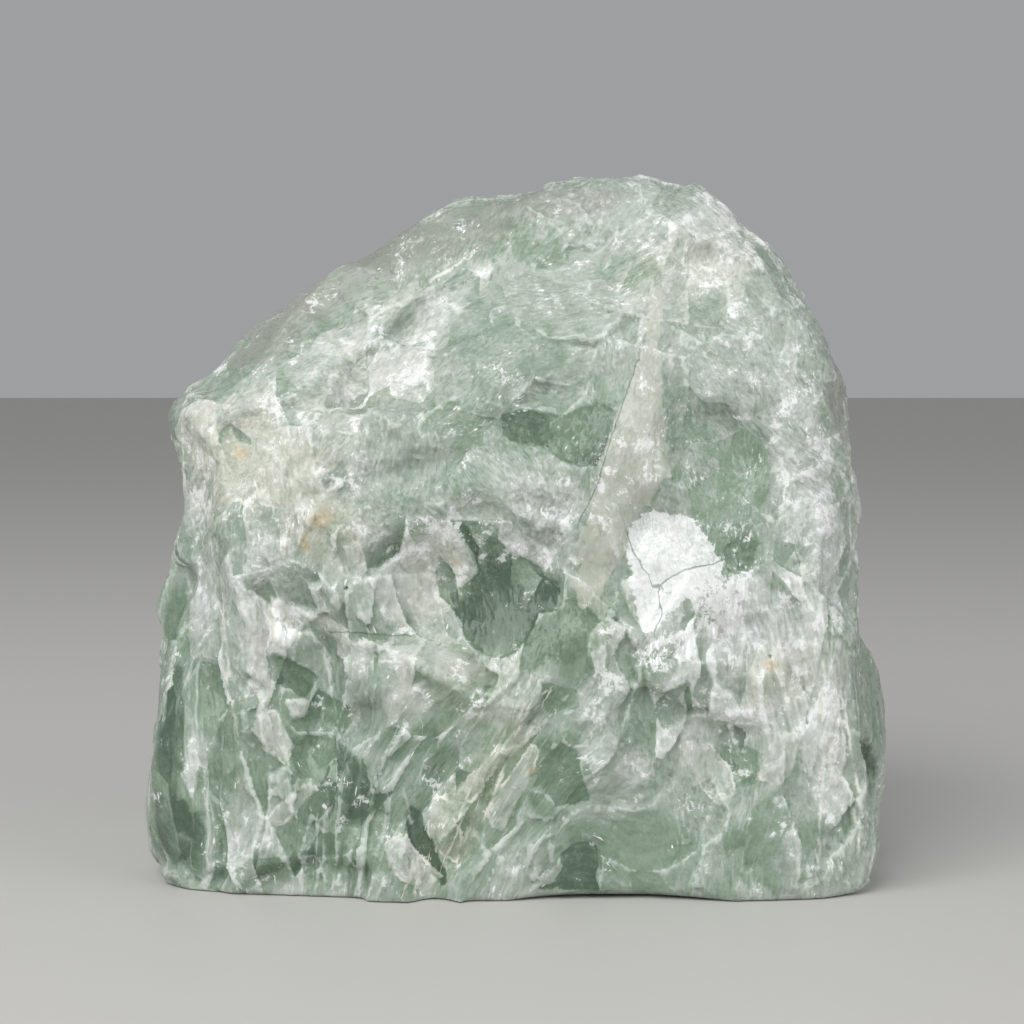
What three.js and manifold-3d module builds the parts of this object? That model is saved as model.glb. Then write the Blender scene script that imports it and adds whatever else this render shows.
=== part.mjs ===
// A rough block of green fluorite, broken from a vein and sawn flat underneath so that it stands.
// It is one stone: a rounded block with a sloping shoulder, whose skin is broken into cleavage
// faces, steps, scoops and ribs. Millimetres, +Z up, the display face looks along -Y, and the
// origin is the centre of the sawn base.
import * as THREE from "three";
import { SimplexNoise } from "three/addons/math/SimplexNoise.js";
import { ConvexGeometry } from "three/addons/geometries/ConvexGeometry.js";
import { mergeVertices } from "three/addons/utils/BufferGeometryUtils.js";
import Module from "manifold-3d";

const wasm = await Module();
wasm.setup();

// Driving dimensions of the block.
const CORE = new THREE.Vector3(0, 0, 60); // the point that every ray of the skin starts from
const LONGEST_RAY = 130;
const SKIN_DETAIL = 13; // subdivisions of the icosahedron that the rays come from
const FRONT = -44; // where the display face lies
const EDGE_ROUNDING = 5; // radius that worn edges are blended over
const OUTLINE_STEEPNESS = 0.9; // how fast the distance grows outside the outline
const DEPTH_TAPER = 0.075; // share by which the outline shrinks from the middle to either face

// Outline of the block seen from the front, as [x, z] corners, anticlockwise from the right foot.
const OUTLINE = [
  [66, -30], [68.5, 4], [68.5, 18], [68.5, 31], [68.5, 40], [67.5, 50], [66, 62], [64.5, 74],
  [65.5, 80], [61.5, 88], [59, 96.5], [54.5, 105], [48.5, 114.5], [40, 122], [34.5, 127],
  [18.5, 128.5], [3.5, 125], [-10.5, 121.5], [-19.5, 118], [-26.5, 112.5], [-37.5, 106.5],
  [-46, 101], [-56.5, 91.5], [-64, 87], [-65, 82.5], [-62, 74.5], [-61.5, 66],
  [-63.5, 54], [-66.5, 40], [-66.5, 25], [-68, 11], [-67.5, 2], [-64, -30],
];

// Large flat faces that bound the block in depth: a point that each one goes through, and its
// outward direction.
const FACES = {
  front: { through: [0, FRONT, 40], out: [0, -1, 0.02] },
  frontLeft: { through: [-28, FRONT, 40], out: [-0.3, -1, 0.02] },
  frontRight: { through: [36, FRONT, 50], out: [0.27, -1, 0.06] },
  shoulder: { through: [-8, FRONT, 84], out: [-0.16, -0.84, 0.54] },
  rightShoulder: { through: [44, FRONT + 3, 92], out: [0.42, -0.8, 0.42] },
  rightCheek: { through: [58, FRONT + 8, 50], out: [0.86, -0.5, 0.1] },
  leftCheek: { through: [-61, FRONT + 9, 40], out: [-0.92, -0.4, 0.03] },
  leftToe: { through: [-60, FRONT + 8, 6], out: [-0.72, -0.42, -0.5] },
  rightToe: { through: [62, FRONT + 12, 4], out: [0.72, -0.38, -0.55] },
  back: { through: [-4, 47, 50], out: [0.04, 1, 0.06] },
  backLeft: { through: [-42, 38, 50], out: [-0.58, 0.86, 0.12] },
  backRight: { through: [46, 38, 50], out: [0.7, 0.8, 0.16] },
  backTop: { through: [10, 38, 104], out: [0.12, 0.74, 0.62] },
  backToe: { through: [10, 44, 5], out: [0.1, 0.85, -0.5] },
};

const RIB_BLEND = 2.5; // radius that ribs are blended into the skin over
const SCOOP_BLEND = 2;

// Smooth hollows scooped out of the skin: centre, radii along X, Y and Z, and lean about Y.
const SCOOPS = [
  { at: [39, FRONT - 2, 80], radii: [12, 8.5, 27], lean: 8 }, // long green hollow right of the rib
  { at: [4, FRONT - 4, 82], radii: [20, 7, 8], lean: -12 }, // hollow left of the rib
  { at: [-36, FRONT - 1, 40], radii: [8, 9, 15], lean: 4 }, // dark pocket, lower left
  { at: [-3, FRONT - 4, 56], radii: [15, 8, 12], lean: 20 }, // centre window
  { at: [38, FRONT - 2, 26], radii: [16, 6, 18], lean: -14 },
  { at: [-16, FRONT - 3, 26], radii: [13, 6, 17], lean: 34 },
  { at: [-58, FRONT + 10, 60], radii: [5, 8, 20], lean: -4 },
  { at: [66, -12, 60], radii: [7, 13, 24], lean: 6 },
  { at: [20, 52, 70], radii: [24, 9, 20], lean: 25 },
  { at: [-34, 46, 44], radii: [15, 9, 24], lean: -20 },
  { at: [-74, 12, 46], radii: [9, 14, 22], lean: 10 },
  { at: [-24, 12, 128], radii: [24, 16, 9], lean: 24 },
];

// Ribs that stand proud of the skin: the ends of each, and its radius at either end.
const RIBS = [
  { from: [-46, FRONT + 7, 68], to: [-42, FRONT + 5, 8], radii: [4.5, 6] }, // left buttress
  { from: [52, FRONT + 9, 64], to: [60, FRONT + 10, 6], radii: [5.5, 6.5] }, // right buttress
  { from: [6, FRONT + 3.5, 38], to: [-9, FRONT + 3, 6], radii: [3, 5] }, // fan of flakes
  { from: [-24, FRONT + 3.5, 30], to: [-22, FRONT + 3, 4], radii: [3.5, 5] },
  { from: [32, 40, 96], to: [44, 38, 30], radii: [5, 8] },
  { from: [-10, 44, 90], to: [-16, 45, 12], radii: [5, 7] },
];

// Cleavage faces broken into the display side: the corners of each as [x, z], how deep its floor
// lies behind the front at its middle, and how fast the floor falls away along X and along Z.
const PITS = [
  // the dark window, and the notch over it
  {
    corners: [[-10, 55], [-7, 60], [1, 62], [8, 59.5], [8.5, 52], [4, 45], [-3, 42], [-9, 47]],
    deep: 2.8, fall: [0.05, 0.12],
  },
  {
    corners: [[-10, 67], [-5, 68.5], [0, 65], [-2, 59], [-7, 60]],
    deep: 2.6, fall: [0.08, 0.2],
  },
  // the bright mirror face, turned up to the left
  {
    corners: [[21, 64], [25, 67.5], [32, 67], [37, 61], [33, 53], [27, 50], [22, 47.5], [19.5, 54]],
    deep: 2.4, fall: [-0.16, 0.3],
  },
  // the dark pocket and the ledges round it
  {
    corners: [[-42, 45], [-36, 47], [-31, 42], [-29, 33], [-31, 25], [-38, 23], [-41, 31]],
    deep: 3.4, fall: [-0.28, 0.12],
  },
  {
    corners: [[-33, 54], [-22, 57], [-12, 54], [-11, 46.5], [-20, 45], [-32, 46.5]],
    deep: 1.9, fall: [0.02, -0.14],
  },
  {
    corners: [[-30, 22], [-24, 25], [-19, 23], [-18, 15], [-25, 11], [-30, 13]],
    deep: 2.2, fall: [-0.1, -0.12],
  },
  // long flakes fanning down to the foot
  {
    corners: [[6, 36], [9, 34], [4, 22], [-5, 9], [-11, 7], [-8, 14]],
    deep: 1.6, fall: [-0.2, 0.02],
  },
  {
    corners: [[-3, 33], [0, 30], [-7, 20], [-15, 14], [-18, 18], [-10, 26]],
    deep: 1.8, fall: [-0.17, 0.08],
  },
  {
    corners: [[-18, 20], [-15.5, 19], [-11, 3], [-13, -2], [-16, 4]],
    deep: 2.4, fall: [-0.3, 0],
  },
  {
    corners: [[14, 14], [20, 17], [25, 14], [26, 2], [20, -2], [13, 2]],
    deep: 1.8, fall: [0.14, 0.1],
  },
  {
    corners: [[29, 46], [38, 46], [46, 40], [44, 30], [36, 27], [31, 32]],
    deep: 1.5, fall: [0.12, -0.16],
  },
  {
    corners: [[48, 63], [51, 59], [56, 36], [59, 10], [56, 6], [51, 32]],
    deep: 4.4, fall: [-0.34, 0],
  },
  {
    corners: [[30, 24], [39, 29], [48, 26], [50, 10], [42, 3], [33, 6]],
    deep: 2, fall: [-0.1, 0.1],
  },
  // left buttress and its grooves
  {
    corners: [[-56, 62], [-52, 59], [-50, 32], [-53, 24], [-56, 36]],
    deep: 5.2, fall: [-0.26, 0],
  },
  {
    corners: [[-48, 27], [-42, 26], [-38, 10], [-43, 2], [-47, 8]],
    deep: 3, fall: [0.1, 0.12],
  },
  {
    corners: [[-51, 74], [-44, 79], [-37, 76], [-36, 67], [-44, 61], [-50, 64]],
    deep: 2.6, fall: [0.05, 0.2],
  },
  {
    corners: [[-32, 76], [-22, 79], [-13, 74], [-15, 65], [-26, 62], [-34, 68]],
    deep: 1.5, fall: [-0.08, 0.15],
  },
  // steps on the shoulder and beside the pale rib
  {
    corners: [[-1, 84], [7, 90], [15, 93], [13.5, 82], [7, 74], [-3, 75]],
    deep: 3, fall: [0.12, 0.3],
  },
  {
    corners: [[-25, 88], [-16, 93], [-7, 91], [-6, 81], [-15, 77], [-24, 79]],
    deep: 3, fall: [0, 0.4],
  },
  {
    corners: [[-46, 90], [-30, 101], [-13, 109], [-11, 104], [-24, 95], [-38, 86]],
    deep: 11, fall: [0, 0.6],
  },
  {
    corners: [[-10, 113], [2, 117], [14, 116], [17, 107], [4, 103], [-8, 105]],
    deep: 14.2, fall: [0.02, 0.6],
  },
  {
    corners: [[28, 111], [36, 113], [45, 109], [44, 98], [36, 95], [29, 100]],
    deep: 10.6, fall: [0.14, 0.52],
  },
];
const PIT_LEAN = 54; // degrees that a pit's walls lean outwards
const PIT_MOUTH = 12; // how far a pit's cutter reaches out from its floor

// The pale vein, a ridge with a sharp left edge that runs down the display side: its left edge,
// right edge and front at each height.
const VEIN = [
  { left: 23.5, right: 27, front: FRONT + 13.5, z: 108 },
  { left: 18.5, right: 26, front: FRONT + 0.2, z: 84 },
  { left: 13, right: 22, front: FRONT + 0.4, z: 70 },
  { left: 8.5, right: 17, front: FRONT + 2.2, z: 56 },
  { left: 5.5, right: 12, front: FRONT + 5, z: 46 },
];
const VEIN_ROOT = 14; // how far the vein's sides reach into the block
const VEIN_SPREAD = 3; // how much wider it is there
const VEIN_BEVEL = [0.4, 2.2]; // how far its front falls back to the left and to the right edge

// Fluorite cleaves on four planes, the faces of an octahedron. Each grain has its own set.
const GRAIN_COUNT = 26;
const GRAIN_ROOM = [[-70, 70], [-45, 45], [0, 130]]; // where their centres lie along X, Y and Z
const CLEAVAGE = [-1, 1].flatMap((x) => [-1, 1].flatMap((y) => [-1, 1].map((z) => [x, y, z])));
const GRAIN_PULL = 0.26; // how far a chip turns from the skin's direction to its grain's plane
const CHIP_COUNT = 100;
const CHIP_RADIUS = [4.5, 12];
const CHIP_DEPTH = [0.4, 1.6];
const CHIP_LEAN = [15, 55]; // degrees that a chip's walls lean outwards
const CHIP_REACH = 9; // height of the cutter above the floor of the chip
const FLAKE_COUNT = 30;
const FLAKE_RADIUS = [3, 6.5];
const FLAKE_RISE = [0.4, 1.2];
const FLAKE_THICKNESS = 5;

THREE.MathUtils.seededRandom(20);
const random = () => THREE.MathUtils.seededRandom();
const between = ([low, high]) => low + (high - low) * random();
const noise = new SimplexNoise({ random });

const vector = (xyz) => new THREE.Vector3(...xyz);

function smoothMax(a, b, blend) {
  const h = Math.max(blend - Math.abs(a - b), 0) / blend;
  return Math.max(a, b) + (h * h * blend) / 4;
}

// Distance from the core to the outline in the direction of (x, z), both measured from the core.
function outlineRadius(x, z) {
  const length = Math.hypot(x, z) || 1;
  const [dx, dz] = [x / length, z / length];
  let radius = LONGEST_RAY;
  OUTLINE.forEach(([ax, az], i) => {
    const [bx, bz] = OUTLINE[(i + 1) % OUTLINE.length];
    const [ex, ez] = [bx - ax, bz - az];
    const [px, pz] = [ax - CORE.x, az - CORE.z];
    const cross = dx * ez - dz * ex;
    const along = (px * ez - pz * ex) / cross;
    const share = (px * dz - pz * dx) / cross;
    if (along > 0 && share >= 0 && share <= 1) radius = Math.min(radius, along);
  });
  return radius;
}

// How far p lies outside the block's large faces, negative inside.
const faces = Object.values(FACES).map(({ through, out }) => {
  const normal = vector(out).normalize();
  return { normal, offset: normal.dot(vector(through)) };
});
function blockDistance(p) {
  const [x, z] = [p.x - CORE.x, p.z - CORE.z];
  const taper = 1 - DEPTH_TAPER * (p.y / FRONT) ** 2;
  let distance = OUTLINE_STEEPNESS * (Math.hypot(x, z) - outlineRadius(x, z) * taper);
  for (const { normal, offset } of faces) {
    distance = smoothMax(distance, normal.dot(p) - offset, EDGE_ROUNDING);
  }
  return distance;
}

// Distance to a scoop's ellipsoid, scaled to millimetres, negative inside it.
const scoops = SCOOPS.map(({ at, radii, lean }) => ({
  centre: vector(at),
  radii: vector(radii),
  turn: new THREE.Quaternion().setFromAxisAngle(
    new THREE.Vector3(0, 1, 0),
    THREE.MathUtils.degToRad(lean),
  ),
}));
function scoopDistance(p, { centre, radii, turn }) {
  const local = p.clone().sub(centre).applyQuaternion(turn).divide(radii);
  return (local.length() - 1) * Math.min(radii.x, radii.y, radii.z);
}

// Distance to a rib, a rod that widens from one end to the other.
const ribs = RIBS.map(({ from, to, radii }) => ({
  line: new THREE.Line3(vector(from), vector(to)),
  radii,
}));
const nearest = new THREE.Vector3();
function ribDistance(p, { line, radii }) {
  const share = line.closestPointToPointParameter(p, true);
  line.at(share, nearest);
  return p.distanceTo(nearest) - THREE.MathUtils.lerp(radii[0], radii[1], share);
}

// Waviness of broken stone: wavelength in mm, and height in mm.
const WAVES = [[46, 1.5], [21, 0.9], [10, 0.55]];
function waviness(p) {
  return WAVES.reduce(
    (sum, [length, height]) => sum + height * noise.noise3d(p.x / length, p.y / length, p.z / length),
    0,
  );
}

// The skin is where this is zero.
function stoneDistance(p) {
  let distance = blockDistance(p);
  for (const rib of ribs) distance = -smoothMax(-distance, -ribDistance(p, rib), RIB_BLEND);
  for (const scoop of scoops) distance = smoothMax(distance, -scoopDistance(p, scoop), SCOOP_BLEND);
  return distance + waviness(p);
}

// The point where a ray from the core leaves the stone, found by halving.
const HALVINGS = 26;
function skinPoint(direction) {
  let [inside, outside] = [0, LONGEST_RAY];
  const p = new THREE.Vector3();
  for (let step = 0; step < HALVINGS; step++) {
    const middle = (inside + outside) / 2;
    p.copy(direction).multiplyScalar(middle).add(CORE);
    if (stoneDistance(p) < 0) inside = middle;
    else outside = middle;
  }
  return p;
}

const NORMAL_REACH = 2.5; // how far apart the skin is sampled for its direction
function skinNormal(p) {
  const slope = (axis) => {
    const step = new THREE.Vector3().setComponent(axis, NORMAL_REACH);
    return stoneDistance(p.clone().add(step)) - stoneDistance(p.clone().sub(step));
  };
  return new THREE.Vector3(slope(0), slope(1), slope(2)).normalize();
}

const WELD = 1e-4; // corners closer than this are one corner
function solidOf(geometry) {
  const bare = new THREE.BufferGeometry();
  bare.setAttribute("position", geometry.getAttribute("position").clone());
  if (geometry.index) bare.setIndex(geometry.index.clone());
  const merged = mergeVertices(bare, WELD);
  return new wasm.Manifold(
    new wasm.Mesh({
      numProp: 3,
      vertProperties: merged.attributes.position.array,
      triVerts: new Uint32Array(merged.index.array),
    }),
  );
}

function geometryOf(solid) {
  const { vertProperties, triVerts } = solid.getMesh();
  const geometry = new THREE.BufferGeometry();
  geometry.setAttribute("position", new THREE.BufferAttribute(vertProperties, 3));
  geometry.setIndex(new THREE.BufferAttribute(triVerts, 1));
  return geometry;
}

function skin() {
  const geometry = new THREE.IcosahedronGeometry(1, SKIN_DETAIL);
  const position = geometry.getAttribute("position");
  const direction = new THREE.Vector3();
  for (let i = 0; i < position.count; i++) {
    direction.fromBufferAttribute(position, i).normalize();
    const p = skinPoint(direction);
    position.setXYZ(i, p.x, p.y, p.z);
  }
  return solidOf(geometry);
}

// A slab with four to six uneven corners. Its small face has that radius and lies on a plane, and
// it widens from there by its lean as it goes out.
const FEWEST_CORNERS = 4;
const CORNER_SPREAD = 3;
const CORNER_SHIFT = 0.35; // share of a corner's own arc that it may be shifted by
function slab(face, out, radius, height, lean) {
  const turn = new THREE.Quaternion().setFromUnitVectors(new THREE.Vector3(0, 0, 1), out);
  const corners = FEWEST_CORNERS + Math.floor(random() * CORNER_SPREAD);
  const spin = random() * Math.PI * 2;
  const stretch = 1 + random();
  const widening = height * Math.tan(THREE.MathUtils.degToRad(lean));
  const points = [];
  for (let i = 0; i < corners; i++) {
    const angle = spin + ((i + CORNER_SHIFT * random()) / corners) * Math.PI * 2;
    const [c, s] = [Math.cos(angle), Math.sin(angle)];
    const [x, y] = [radius * stretch * c, (radius / Math.sqrt(stretch)) * s];
    points.push(new THREE.Vector3(x, y, 0));
    points.push(new THREE.Vector3(x + widening * c, y + widening * s, height));
  }
  return solidOf(new ConvexGeometry(points.map((p) => p.applyQuaternion(turn).add(face))));
}

// The cutter of one of the placed cleavage faces, which widens as it goes out of the block.
function pit({ corners, deep, fall }) {
  const middle = corners.reduce((sum, [x, z]) => [sum[0] + x, sum[1] + z], [0, 0]);
  const [cx, cz] = middle.map((total) => total / corners.length);
  const widening = PIT_MOUTH * Math.tan(THREE.MathUtils.degToRad(PIT_LEAN));
  const points = [];
  for (const [x, z] of corners) {
    const floor = FRONT + deep + fall[0] * (x - cx) + fall[1] * (z - cz);
    const out = new THREE.Vector2(x - cx, z - cz).normalize().multiplyScalar(widening);
    points.push(new THREE.Vector3(x, floor, z));
    points.push(new THREE.Vector3(x + out.x, floor - PIT_MOUTH, z + out.y));
  }
  return solidOf(new ConvexGeometry(points));
}

// One stretch of the vein between two of its heights.
function veinStretch(top, bottom) {
  const points = [top, bottom].flatMap(({ left, right, front, z }) => [
    new THREE.Vector3(left, front + VEIN_BEVEL[0], z),
    new THREE.Vector3(left + (right - left) / 3, front, z),
    new THREE.Vector3(right, front + VEIN_BEVEL[1], z),
    new THREE.Vector3(left - VEIN_SPREAD / 3, front + VEIN_ROOT, z),
    new THREE.Vector3(right + VEIN_SPREAD, front + VEIN_ROOT, z),
  ]);
  return solidOf(new ConvexGeometry(points));
}

// The stone's grains, each a centre and a turn of the four cleavage planes.
const grains = Array.from({ length: GRAIN_COUNT }, () => ({
  centre: vector(GRAIN_ROOM.map(between)),
  turn: new THREE.Quaternion().setFromEuler(
    new THREE.Euler(random() * Math.PI, random() * Math.PI, random() * Math.PI),
  ),
}));

// The direction of the cleavage plane nearest to the skin's own, in the grain that holds p.
function cleavageAt(p, normal) {
  const grain = grains.reduce((a, b) =>
    a.centre.distanceTo(p) < b.centre.distanceTo(p) ? a : b,
  );
  const planes = CLEAVAGE.map((plane) => vector(plane).normalize().applyQuaternion(grain.turn));
  const plane = planes.reduce((a, b) => (a.dot(normal) > b.dot(normal) ? a : b));
  return normal.clone().lerp(plane, GRAIN_PULL).normalize();
}

// Directions spread evenly round the core, each shifted a little.
const HEIGHT_SHIFT = 0.12;
const TURN_SHIFT = 0.4;
function scattered(count) {
  const golden = Math.PI * (3 - Math.sqrt(5));
  return Array.from({ length: count }, (_, i) => {
    const z = 1 - (2 * (i + 0.5)) / count + HEIGHT_SHIFT * (random() - 0.5);
    const ring = Math.sqrt(Math.max(0, 1 - z * z));
    const angle = i * golden + TURN_SHIFT * random();
    return new THREE.Vector3(ring * Math.cos(angle), ring * Math.sin(angle), z).normalize();
  });
}

function chip(direction) {
  const p = skinPoint(direction);
  const out = cleavageAt(p, skinNormal(p));
  const floor = p.clone().addScaledVector(out, -between(CHIP_DEPTH));
  return slab(floor, out, between(CHIP_RADIUS), CHIP_REACH, between(CHIP_LEAN));
}

function flake(direction) {
  const p = skinPoint(direction);
  const out = cleavageAt(p, skinNormal(p)).negate();
  const top = p.clone().addScaledVector(out, -between(FLAKE_RISE));
  return slab(top, out, between(FLAKE_RADIUS), FLAKE_THICKNESS, between(CHIP_LEAN));
}

const ROOM = 400; // side of the box above the saw cut that keeps what is over it
function stone() {
  let solid = skin();
  for (const direction of scattered(FLAKE_COUNT)) solid = solid.add(flake(direction));
  for (const direction of scattered(CHIP_COUNT)) solid = solid.subtract(chip(direction));
  for (const place of PITS) solid = solid.subtract(pit(place));
  VEIN.slice(1).forEach((bottom, i) => {
    solid = solid.add(veinStretch(VEIN[i], bottom));
  });
  const room = new THREE.BoxGeometry(ROOM, ROOM, ROOM).translate(0, 0, ROOM / 2);
  const bodies = solid.intersect(solidOf(room)).decompose(); // the stone, and crumbs cut loose
  return geometryOf(bodies.reduce((a, b) => (a.volume() > b.volume() ? a : b)));
}

// Puts the middle of the outline's box over the origin.
function centred(geometry) {
  geometry.computeBoundingBox();
  const middle = geometry.boundingBox.getCenter(new THREE.Vector3());
  return geometry.translate(-middle.x, -middle.y, 0);
}

const FLUORITE_GREEN = 0xa3b5a3;

const fluorite = new THREE.Mesh(
  centred(stone()),
  new THREE.MeshStandardMaterial({ color: FLUORITE_GREEN, roughness: 0.35, metalness: 0 }),
);
fluorite.name = "fluorite_stone";

const group = new THREE.Group();
group.name = "fluorite_freeform";
group.add(fluorite);

export default group;
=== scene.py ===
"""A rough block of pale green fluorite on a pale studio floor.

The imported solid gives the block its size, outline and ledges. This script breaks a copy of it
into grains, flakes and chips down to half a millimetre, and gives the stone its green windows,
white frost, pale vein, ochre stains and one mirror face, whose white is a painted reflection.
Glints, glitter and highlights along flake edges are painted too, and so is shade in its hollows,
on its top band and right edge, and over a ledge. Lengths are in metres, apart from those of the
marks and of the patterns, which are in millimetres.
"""

import functools
import math
import operator

import bmesh
import bpy
import numpy as np
from mathutils import Color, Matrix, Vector


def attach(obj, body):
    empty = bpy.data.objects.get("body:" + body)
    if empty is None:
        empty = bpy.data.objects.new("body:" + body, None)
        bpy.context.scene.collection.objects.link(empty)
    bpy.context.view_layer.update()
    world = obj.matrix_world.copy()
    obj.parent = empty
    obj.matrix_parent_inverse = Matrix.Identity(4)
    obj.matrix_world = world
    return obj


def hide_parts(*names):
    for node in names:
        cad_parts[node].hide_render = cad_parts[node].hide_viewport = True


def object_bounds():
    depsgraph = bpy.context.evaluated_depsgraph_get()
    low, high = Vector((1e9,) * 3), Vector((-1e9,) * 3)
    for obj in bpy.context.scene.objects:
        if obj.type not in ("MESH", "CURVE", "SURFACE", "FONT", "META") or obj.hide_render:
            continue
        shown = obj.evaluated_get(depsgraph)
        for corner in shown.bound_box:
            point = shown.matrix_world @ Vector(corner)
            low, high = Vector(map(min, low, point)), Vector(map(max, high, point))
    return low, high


bl_info = {
    "name": "Fluorite freeform",
    "version": (1, 0, 0),
    "blender": (4, 5, 0),
    "location": "3D View > Sidebar > Fluorite",
    "description": "Builds a rough block of pale green fluorite around its packed solid",
    "category": "Object",
}

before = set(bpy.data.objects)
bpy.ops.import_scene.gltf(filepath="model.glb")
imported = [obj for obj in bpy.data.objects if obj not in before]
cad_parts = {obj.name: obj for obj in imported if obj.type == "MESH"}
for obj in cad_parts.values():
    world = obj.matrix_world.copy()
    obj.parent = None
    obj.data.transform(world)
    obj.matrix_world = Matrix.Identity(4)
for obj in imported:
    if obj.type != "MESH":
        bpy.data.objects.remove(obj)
SOLID_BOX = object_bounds()

NODE = "fluorite_stone"
BODY = "root"
MM = 0.001

# ---------------------------------------------------------------------------------------------
# Where the stone's marks lie on the display side, seen square from the front. Some of them are
# painted light or shade, as noted beside them. An oval one is its middle along X and its height Z,
# its half width and half height, all in millimetres, its lean clockwise in degrees, and its
# strength.
# ---------------------------------------------------------------------------------------------

WINDOWS = {
    "hollow by the vein": (2, 80.5, 12.5, 5.5, -6, 0.4),
    "centre window": (-2, 50, 10, 11, 10, 0.5),
    "right of the window": (10.5, 46, 7, 7, 0, 0.8),
    "right hollow": (38, 73, 10, 10, -12, 0.5),
    "right hollow's foot": (38.5, 61.5, 6, 5.5, -15, 0.6),
    "upper right hollow": (33, 98, 6, 11, 5, 0.1),
    "dark pocket": (-37, 36, 8, 7, -20, 0.5),
    "pocket's middle": (-34.5, 27, 7, 9, 0, 0.9),
    "pocket's foot": (-30.5, 19.5, 7, 8, 10, 1.0),
    "left panes": (-50.5, 31, 5, 7.5, 0, 0.45),
    "lower left panes": (-49, 18, 6, 6, 0, 0.4),
    "left flank": (-61.5, 30, 4, 22, 0, 0.7),
    "left toe": (-59.5, 11, 6, 10, 0, 0.7),
    "left foot": (-44.5, 6, 7, 4, 0, 0.35),
    "pane of the foot": (-29, 9, 8, 6, 0, 0.5),
    "fan hollow": (-3, 25, 3.5, 8.5, 30, 0.4),
    "middle hollow": (6, 23, 5.5, 9, 0, 0.65),
    "dark foot": (13, 8, 9, 8, 0, 0.5),
    "right of the foot": (24, 8, 9, 8, 0, 0.45),
    "right toe": (44, 10, 11, 7, 0, 0.6),
    "lower right plane": (38, 23, 5, 5, 0, 0.4),
    "under the mirror": (21.5, 41.5, 8.5, 4, 10, 0.2),
    "right flank": (63.5, 28.5, 3, 26.5, -3, 0.3),
    "crest hollow": (4, 114, 6, 3.5, -10, 0.55),
    # Painted shade: the next three darken the top band and the right edge, which face away from the
    # light.
    "top band left": (-40, 101.5, 17, 4, -36, 0.35),
    "top band middle": (-12, 117, 19, 4.5, -18, 0.7),
    "rough edge": (59.5, 87, 3, 11, -10, 0.2),
    # Painted shade: a dark green band along the shadow line over the ledge.
    "ledge shade": (-25.5, 46, 8, 1.5, -3, 0.8),
    "left shoulder pane": (-54.5, 62.5, 4, 5, 0, 0.25),
    "middle left": (-17, 28.5, 10.5, 6, 0, 0.35),
    "low middle": (-8, 7.5, 4, 5, 0, 0.3),
    "under the vein": (14, 41, 8.5, 6.5, 0, 0.5),
    "middle of the lower half": (8, 35, 6, 5, 0, 0.3),
    "shoulder pane": (-12, 86.5, 12, 4.5, -12, 0.3),
    "left of the fan": (-13, 16, 6, 7, 20, 0.45),
    "lower left plane": (-32, 17, 6, 5, 0, 0.8),
    "top of the slope": (21, 110, 6, 4, 0, 0.5),
    "shoulder green": (0, 96, 11, 6, 0, 0.35),
    "fan's left": (-9, 24, 5, 9, 30, 0.6),
    "right of the vein": (28, 84, 3.5, 8, -10, 0.45),
    "fan": (-4, 22, 6, 10, 30, 0.35),
    "window's lower right": (1, 46, 7, 6, 0, 0.8),
    "under the hollow": (-8, 74, 5, 4, 0, 0.4),
    "over the hollow": (13, 88, 5, 4, 0, 0.4),
    "over the ledge": (-27, 50, 4, 6, 0, 0.4),
}

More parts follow.
